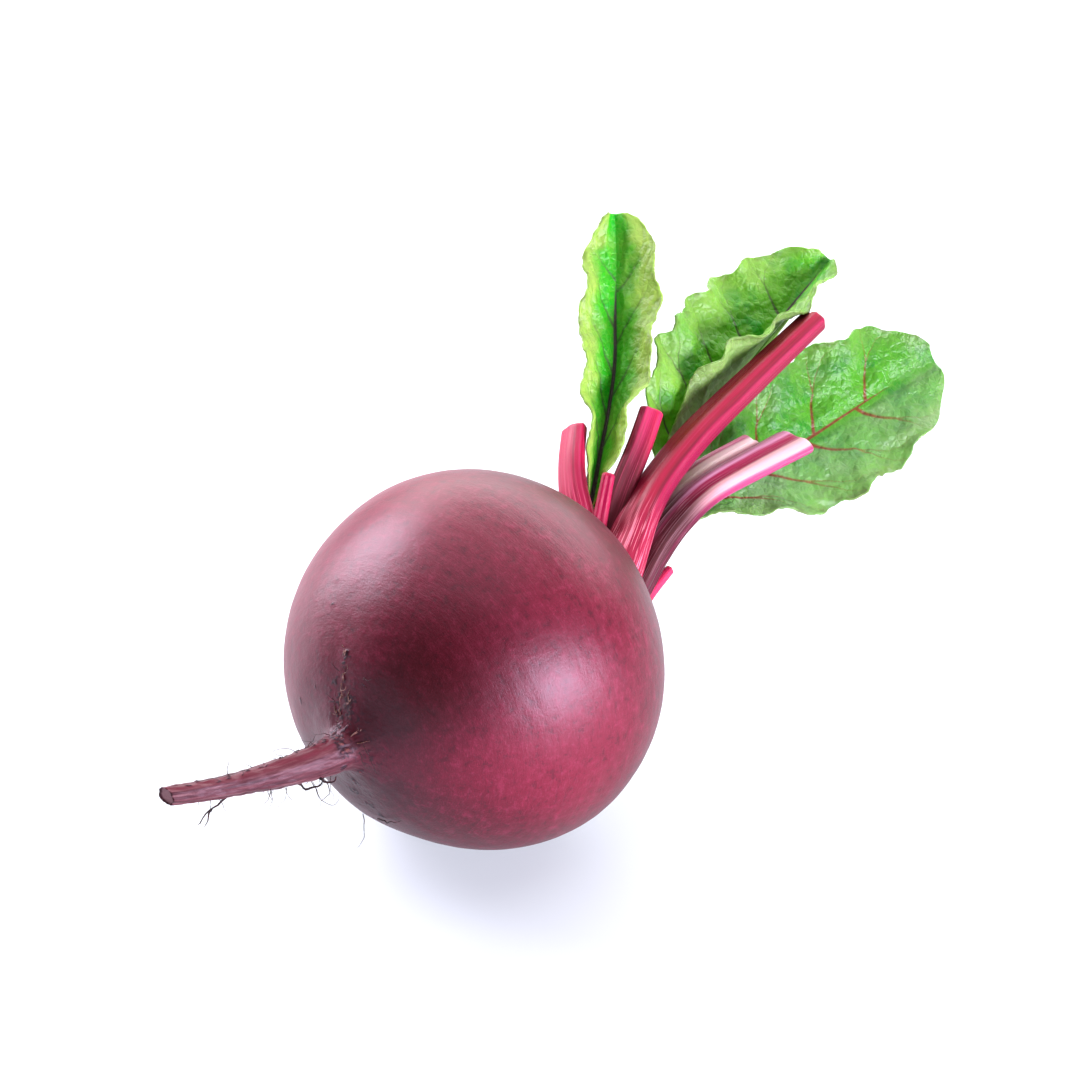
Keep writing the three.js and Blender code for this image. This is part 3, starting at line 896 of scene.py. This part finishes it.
class Blade:
    """A blade lies along the inner side of its stalk's outer stretch. It is worked out as one surface, with u
    from 0 at its base to 1 at its tip, and v from -1 at its right edge to 1 at its left, and then gets its
    thickness. Values in pairs are for the right half and the left half. A vein is where it starts along the
    midrib and how far it reaches towards the tip at the edge. The midrib is its width at the base and at the
    tip, the share of the way where it fades, and how clearly the other veins show."""

    def __init__(self, stalk, start, half, fold, curl, rise, widest, blunt, veins, midrib, ruffle, waves=4):
        self.stalk, self.start, self.half, self.fold, self.curl = stalk, start, half, fold, curl
        self.rise, self.widest, self.blunt = rise, widest, blunt
        self.veins, self.midrib, self.ruffle, self.waves = veins, midrib, ruffle, waves
        self.length = stalk.path.length * (1 - start)

    def width(self, u, side):
        widest = self.widest[side]
        rise = math.sin(math.pi / 2 * min(1, u / widest)) ** self.rise[side]
        past = max(0, (u - widest) / (1.01 - widest))
        margin = 1 + SCALLOP * math.sin(TURN * (1.5 * self.waves * u + 0.2 * side))
        margin += 0.03 * noise.noise(Vector((u * 34, side * 7, self.waves)))
        margin -= 0.022 * abs(noise.noise(Vector((u * 80, side * 5, self.waves))))
        return max(0.9, self.half[side] * rise * math.sqrt(1 - past ** self.blunt[side]) * margin)

    def middle(self, u, v):
        side = 1 if v > 0 else 0
        out = abs(v)
        t = mix(self.start, 1, u)
        at, _, inwards, sideways = self.stalk.frame(t)
        fold = math.radians(mix(*self.fold[side], smooth(u, 0.2, 0.9)))
        curl = math.radians(self.curl[side])
        width = self.width(u, side)
        slope = fold + curl * out
        across = width * (math.sin(slope) - math.sin(fold)) / curl
        lift = width * (math.cos(fold) - math.cos(slope)) / curl
        swell = self.ruffle * smooth(u, 0.05, 0.3) * out**2.2
        wave = swell * math.sin(TURN * (self.waves * u + 0.3 * side))
        clear = self.stalk.halves(t)[1] + LEAF_CLEARANCE
        sideways = sideways * (-1 if side else 1)
        aside = across - wave * math.sin(slope)
        return at + sideways * aside + inwards * (clear + lift + wave * math.cos(slope))

    def vein(self, u, v):
        """How strongly a vein shows here, from 0 to 1, and how far the nearest one is in millimetres."""
        side = 1 if v > 0 else 0
        out = abs(v)
        width = self.width(u, side)
        base, tip, fade, side_veins = self.midrib
        strength = hump(out * width, mix(base, tip, u)) * (1 - smooth(u, fade - 0.15, fade + 0.15))
        nearest = out * width
        for start, reach in self.veins[side]:
            steep = width / math.hypot(width, self.length * reach)
            bend = start + reach * out**1.25
            spread = 0.045 * max(0, out - 0.5)
            for branch in (-1, 1) if spread else (0,):
                gap = abs(u - bend - branch * spread * 2) * self.length * steep
                stout = mix(0.46, 0.2, out) * (0.8 if spread else 1)
                shown = side_veins * mix(0.95, 0.4, out) * mix(1, 0.7, start)
                strength = max(strength, hump(gap, stout) * shown)
                nearest = min(nearest, gap)
        return strength, nearest

    def place(self, across, along):
        v = 2 * across - 1
        strength, _ = self.vein(along, v)
        rim = smooth(abs(v), 0.86, 1)
        return self.middle(along, v), (along, v, abs(v)), (strength, rim, 0)

    def shape(self):
        shape = new_shape()
        spot = shape.verts.layers.float_vector[SPOT]
        marks = shape.verts.layers.float_vector[MARKS]
        sheet = lay_out(shape, BLADE_GRID, self.place)
        shape.normal_update()
        facing = self.stalk.frame(0.7)[2]
        heart = sum((vertex.normal.dot(facing) for vertex in sheet), 0.0)
        outwards = 1 if heart > 0 else -1
        for vertex in sheet:
            u, v, out = vertex[spot]
            strength, nearest = self.vein(u, v)
            puff = 0.6 * (1 - hump(nearest, 2.2))
            near, far = noise.voronoi(vertex.co * 0.42)[0][:2]
            blister = 0.14 * smooth(far - near, 0, 0.5)
            crinkle = 0.5 * noise.noise(vertex.co * 0.28) + 0.16 * noise.noise(vertex.co * 0.8)
            off_midrib = smooth(out * self.width(u, 1 if v > 0 else 0), *MIDRIB_FLAT)
            relief = (puff + blister + crinkle - 0.3 * strength) * off_midrib
            vertex.co += vertex.normal * (outwards * relief * smooth(u, 0, 0.1))
        if outwards < 0:
            bmesh.ops.reverse_faces(shape, faces=shape.faces)
        shape.normal_update()
        way = shape.verts.layers.float_vector.new(WAY)
        for vertex in shape.verts:
            vertex[way] = vertex.normal
        shell = bmesh.ops.extrude_face_region(shape, geom=shape.faces[:], use_keep_orig=True)["geom"]
        for vertex in shell:
            if isinstance(vertex, bmesh.types.BMVert):
                vertex.co -= vertex[way] * LEAF_THICKNESS
                vertex[marks].z = 1
        bmesh.ops.recalc_face_normals(shape, faces=shape.faces)
        return shape


LEAVES = {
    "upright": {
        "stalk": {
            "wide": 4.6,
            "thick": 3.6,
            "tip": 0.3,
            "clasp": 0.3,
            "inner": (-0.6, -0.6, 0.45),
            "path": (
                (31.4, 6.6, 33.2),
                (37.9, 7.6, 38.7),
                (42.9, 8.6, 44.7),
                (47.4, 10.1, 50.2),
                (53.9, 13.1, 57.2),
                (60.9, 16.6, 63.7),
                (66.9, 20.1, 70.2),
                (71.9, 24.1, 77.2),
                (78.1, 28.9, 86.7),
                (82.4, 32.9, 95.2),
            ),
        },
        "blade": {
            "start": 0.24,
            "half": (10.6, 9.4),
            "fold": ((58, 28), (42, 22)),
            "curl": (12, 12),
            "rise": (0.66, 1.1),
            "widest": (0.5, 0.45),
            "blunt": (4, 2.8),
            "ruffle": 1.1,
            "midrib": (0.8, 0.2, 0.72, 0.55),
            "veins": (
                ((0.2, 0.3), (0.38, 0.3), (0.56, 0.3), (0.74, 0.2)),
                ((0.15, 0.35), (0.3, 0.35), (0.46, 0.32), (0.62, 0.28), (0.78, 0.16)),
            ),
        },
    },
    "folded": {
        "stalk": {
            "wide": 4.4,
            "thick": 3.6,
            "tip": 0.3,
            "clasp": 0.3,
            "inner": (-0.35, 0.1, 0.93),
            "path": (
                (31.4, 2.6, 35.2),
                (37.4, 3.6, 38.7),
                (45.9, 4.2, 43.2),
                (55.3, 4.5, 48.8),
                (66.1, 4.5, 53.6),
                (76.5, 4, 58.3),
                (87, 4, 62.3),
                (97.5, 4.1, 67.1),
                (107.5, 3.6, 72.7),
                (119.4, 2.5, 79.9),
            ),
        },
        "blade": {
            "start": 0.37,
            "half": (11, 18.6),
            "fold": ((84, 24), (60, 30)),
            "curl": (8, 14),
            "rise": (1.2, 0.65),
            "widest": (0.42, 0.36),
            "blunt": (1.8, 2.1),
            "ruffle": 1.4,
            "waves": 5,
            "midrib": (0.7, 0.2, 0.9, 0.7),
            "veins": (
                ((0.2, 0.2), (0.4, 0.2), (0.6, 0.2), (0.78, 0.14)),
                ((0.08, 0.1), (0.22, 0.12), (0.38, 0.12), (0.54, 0.14), (0.72, 0.14)),
            ),
        },
    },
    "broad": {
        "stalk": {
            "wide": 4.6,
            "thick": 3.8,
            "tip": 0.3,
            "clasp": 0.3,
            "inner": (-0.5, -0.6, 0.62),
            "path": (
                (31.4, -3.4, 30.2),
                (38.4, -3.4, 32.2),
                (54.4, -0.8, 35.8),
                (71.4, 0.6, 39.8),
                (83.6, -0.2, 42.4),
                (94, -2, 43.6),
                (103.6, -4.2, 45),
                (113, -6.4, 47.4),
                (125.2, -9.7, 50.8),
                (137.6, -13.2, 53.6),
            ),
        },
        "blade": {
            "start": 0.32,
            "half": (16.5, 17),
            "fold": ((10, 5), (6, 8)),
            "curl": (10, 10),
            "rise": (1.2, 1.2),
            "widest": (0.5, 0.42),
            "blunt": (2.6, 3),
            "ruffle": 1.5,
            "midrib": (0.5, 0.1, 0.78, 0.85),
            "veins": (
                ((0.1, 0.3), (0.3, 0.3), (0.5, 0.28), (0.7, 0.2)),
                ((0.14, 0.14), (0.32, 0.16), (0.54, 0.16), (0.74, 0.14)),
            ),
        },
    },
}

# For each stem: colours round it, from -180 to 180 degrees, where 90 faces the heart of the plant, the colours
# of its base, partly its own and partly painted shade of the crevice at the crown, its dark lines, its pale
# streaks and its cut end, and how strongly it and its base are streaked.
RED = (
    ((-180, "#5d051f"), (-64, "#6d072a"), (-20, "#840a35"), (6, "#91113b"), (12, "#76072a"), (18, "#86092b"),
     (42, "#8d0d2e"), (54, "#810a29"), (66, "#7a0a22"), (85, "#7a0a22"), (105, "#7d0a29"), (125, "#760729"),
     (180, "#5d051f")),
    "#8a0730", "#4d0415", "#a33b56", "#aa2b3b", 0.35, 0.6,
)
BOWED = (
    ((-180, "#a1053a"), (0, "#a5063d"), (180, "#a1053a")),
    "#a1063d", "#5b021a", "#be2f60", "#a51d4b", 0.6, 0.35,
)
HEART = (
    ((-180, "#930535"), (0, "#9f063e"), (180, "#930535")),
    "#790528", "#660422", "#ae2155", "#a62151", 0.3, 0.1,
)
# The near-black base colour of this striped stem is painted shade of the crevice beside the bulb.
STRIPED_NEAR = (
    ((-180, "#861850"), (-70, "#60184c"), (-25, "#802860"), (6, "#a01c54"), (18, "#b43c6c"), (28, "#d4949f"),
     (68, "#e0a6ac"), (77, "#981446"), (104, "#901240"), (114, "#c888a8"), (126, "#b06084"), (150, "#861850"),
     (180, "#861850")),
    "#38020e", "#781040", "#dcb0c0", "#cc98a8", 0.3, 0.04,
)
# Its near-black base colour is painted shade of the crevice beside the bulb.
STRIPED_FAR = (
    ((-180, "#801444"), (-30, "#751e52"), (20, "#92224f"), (44, "#d08098"), (54, "#f0c0cc"), (98, "#f4ccd4"),
     (108, "#c26388"), (125, "#801444"), (180, "#801444")),
    "#40020e", "#922855", "#dca1b3", "#be7d8e", 0.2, 0.06,
)
# Its dark base colour is mostly painted shade of the crevice at the crown.
DARK = (
    ((-180, "#840e34"), (-30, "#c82450"), (20, "#cc2050"), (60, "#b01440"), (90, "#b82454"),
     (180, "#840e34")),
    "#480614", "#480418", "#d04c70", "#a83858", 0.4,
)
STALK = (
    ((-180, "#500a26"), (0, "#600e2a"), (90, "#400a1e"), (180, "#500a26")),
    "#4c0820", "#280510", "#883450", "#7c2038", 0.4,
)
FOLDED_STALK = (
    ((-180, "#5c8830"), (0, "#6c9838"), (90, "#609040"), (180, "#5c8830")),
    "#540820", "#34501c", "#94a858", "#7c2038", 0.4,
)
RUSTY_STALK = (
    ((-180, "#702814"), (0, "#7c2c10"), (90, "#64200c"), (180, "#702814")),
    "#680c2a", "#44080c", "#904424", "#7c3820", 0.4,
)
CURL = (((-180, "#7c5044"), (180, "#a87c68")), "#7c5044", "#4c2820", "#c8a08c", "#84605c", 0.5)
ROOTLET = (((-180, "#241014"), (180, "#40242c")), "#30181c", "#180a0e", "#705850", "#30181c", 0.5)

STEM_FINISHES = {
    "stem_long": ("stem_red", RED),
    "stem_bowed": ("stem_red", BOWED),
    "stem_striped_near": ("stem_striped", STRIPED_NEAR),
    "stem_striped_far": ("stem_striped", STRIPED_FAR),
    "stem_dark": ("stem_dark", DARK),
    "stem_stub_heart": ("stem_red", HEART),
    "stem_stub_low_right": ("stem_dark", DARK),
    "stem_stub_low_left": ("stem_dark", DARK),
    "stem_stub_far": ("stem_dark", DARK),
}

# The seventh colour of each blade is its painted sheen, a pale reflection.
LEAF_FINISHES = {
    "upright": (STALK, ("#2c980f", "#049404", "#94a44a", 0.3, 0.75, "#3c1533", "#8ca846", -1, 0.2)),
    "folded": (FOLDED_STALK, ("#559811", "#248606", "#7a9144", 0.35, 0.45, "#3b1b2a", "#769448", -1, 0.2)),
    "broad": (RUSTY_STALK, ("#3b7f0c", "#0e6a03", "#708a45", 0.45, 0.3, "#651704", "#658253", -1, 0.5)),
}


def make_plant():
    make_root(skin_finish())
    make_rootlets(stem_finish("rootlet", *ROOTLET))
    make_curls(stem_finish("dry_curl", *CURL))
    for name, sizes in STEMS.items():
        slot, colours = STEM_FINISHES[name]
        finish_piece(f"{name}_skin", Stem(**sizes).shape(), stem_finish(name, *colours), slot, name)
    for name, leaf in LEAVES.items():
        stalk = Stem(**leaf["stalk"], round_end=0.3)
        stalk_colours, blade_colours = LEAF_FINISHES[name]
        stalk_finish = stem_finish(f"{name}_stalk", *stalk_colours)
        finish_piece(f"{name}_stalk", stalk.shape(), stalk_finish, "stem_dark", f"leaf_{name}_stem")
        blade = Blade(stalk, **leaf["blade"]).shape()
        blade_finish = leaf_finish(f"{name}_leaf", *blade_colours)
        finish_piece(f"{name}_blade", blade, blade_finish, "leaf_blade", f"leaf_{name}_blade")


# Camera, light and floor

ROOM_COLOUR = (0.93, 0.95, 1, 1)
ROOM_STRENGTH = 0.1
FLOOR_RADIUS = 3  # metres
FLOOR_SIDES = 96
FLOOR_COLOUR = (0.36, 0.37, 0.39, 1)
FLOOR_GLOW = (0.46, 0.49, 0.56, 1)

# The photograph is square. The camera is placed so that the middle of the root stands at its pixel there.
FRAME_PX = 1080
ROOT_PX = (480, 657.5)
ROOT_MIDDLE = Vector((0, 0, 37.1))
MM_PER_PX = 0.2
VIEW_DISTANCE = 750
VIEW_ELEVATION = math.radians(30)
VIEW_AZIMUTH = math.radians(-50)
SENSOR = 36

VIEW_BACK = Vector((
    math.sin(VIEW_AZIMUTH) * math.cos(VIEW_ELEVATION),
    -math.cos(VIEW_AZIMUTH) * math.cos(VIEW_ELEVATION),
    math.sin(VIEW_ELEVATION),
))
VIEW_RIGHT = Vector((0, 0, 1)).cross(VIEW_BACK).normalized()
VIEW_UP = VIEW_BACK.cross(VIEW_RIGHT)
FLOOR_AWAY = Vector((0, 0, 1)).cross(VIEW_RIGHT)


def basis(right, up, back):
    """A turn that has those three ways as its axes."""
    return Matrix((right, up, back)).transposed()


def make_camera():
    data = bpy.data.cameras.new("view")
    data.sensor_width = SENSOR
    data.lens = SENSOR * VIEW_DISTANCE / (FRAME_PX * MM_PER_PX)
    data.clip_start = 0.01
    camera = bpy.data.objects.new("view", data)
    middle = FRAME_PX / 2
    target = ROOT_MIDDLE + VIEW_RIGHT * ((middle - ROOT_PX[0]) * MM_PER_PX)
    target += VIEW_UP * ((ROOT_PX[1] - middle) * MM_PER_PX)
    camera.matrix_world = Matrix.LocRotScale(
        (target + VIEW_BACK * VIEW_DISTANCE) * MM, basis(VIEW_RIGHT, VIEW_UP, VIEW_BACK).to_quaternion(), None
    )
    bpy.context.scene.collection.objects.link(camera)
    bpy.context.scene.camera = camera


def softbox(name, right, away, up, size, radiance, tint=(1, 1, 1)):
    """A light that faces the root from metres to the camera's right, away from it and up: round, of one size
    across, or oblong, of a size across and another one up."""
    data = bpy.data.lights.new(name, "AREA")
    if isinstance(size, tuple):
        data.shape = "RECTANGLE"
        data.size, data.size_y = size
        area = size[0] * size[1]
    else:
        data.shape = "DISK"
        data.size = size
        area = math.pi * size**2 / 4
    data.energy = radiance * math.pi * area
    data.color = tint
    lamp = bpy.data.objects.new(name, data)
    offset = VIEW_RIGHT * right + FLOOR_AWAY * away + Vector((0, 0, up))
    lamp.location = ROOT_MIDDLE * MM + offset
    lamp.rotation_euler = offset.to_track_quat("Z", "Y").to_euler()
    bpy.context.scene.collection.objects.link(lamp)


def make_studio():
    softbox("left", -0.78, 0.46, 0.2, 0.4, 9, (1, 0.98, 1.06))
    softbox("back_left", -0.58, 0.4, 0.48, (0.5, 0.42), 19, (1, 0.98, 1.08))
    softbox("front_right", 0.67, -0.6, 0.08, (0.52, 0.34), 44, (1, 0.98, 1.14))
    softbox("back_wall", 0.4, 1.15, 0.82, (2.6, 1.3), 5.4)
    softbox("overhead", 0, 0, 1.7, 2, 1.8)
    world = bpy.data.worlds.new("room")
    world.use_nodes = True
    world.node_tree.nodes["Background"].inputs["Color"].default_value = ROOM_COLOUR
    world.node_tree.nodes["Background"].inputs["Strength"].default_value = ROOM_STRENGTH
    bpy.context.scene.world = world
    bpy.context.scene.view_settings.view_transform = "Standard"
    shape = new_shape()
    bmesh.ops.create_circle(shape, cap_ends=True, segments=FLOOR_SIDES, radius=FLOOR_RADIUS)
    mesh = bpy.data.meshes.new("floor")
    shape.to_mesh(mesh)
    shape.free()
    table = Finish("table", Roughness=0.55, IOR=1.3)
    table.shader.inputs["Base Color"].default_value = FLOOR_COLOUR
    table.shader.inputs["Emission Color"].default_value = FLOOR_GLOW
    table.shader.inputs["Emission Strength"].default_value = 1
    mesh.materials.append(table.material)
    floor = bpy.data.objects.new("floor", mesh)
    bpy.context.scene.collection.objects.link(floor)


make_camera()
make_plant()
make_studio()
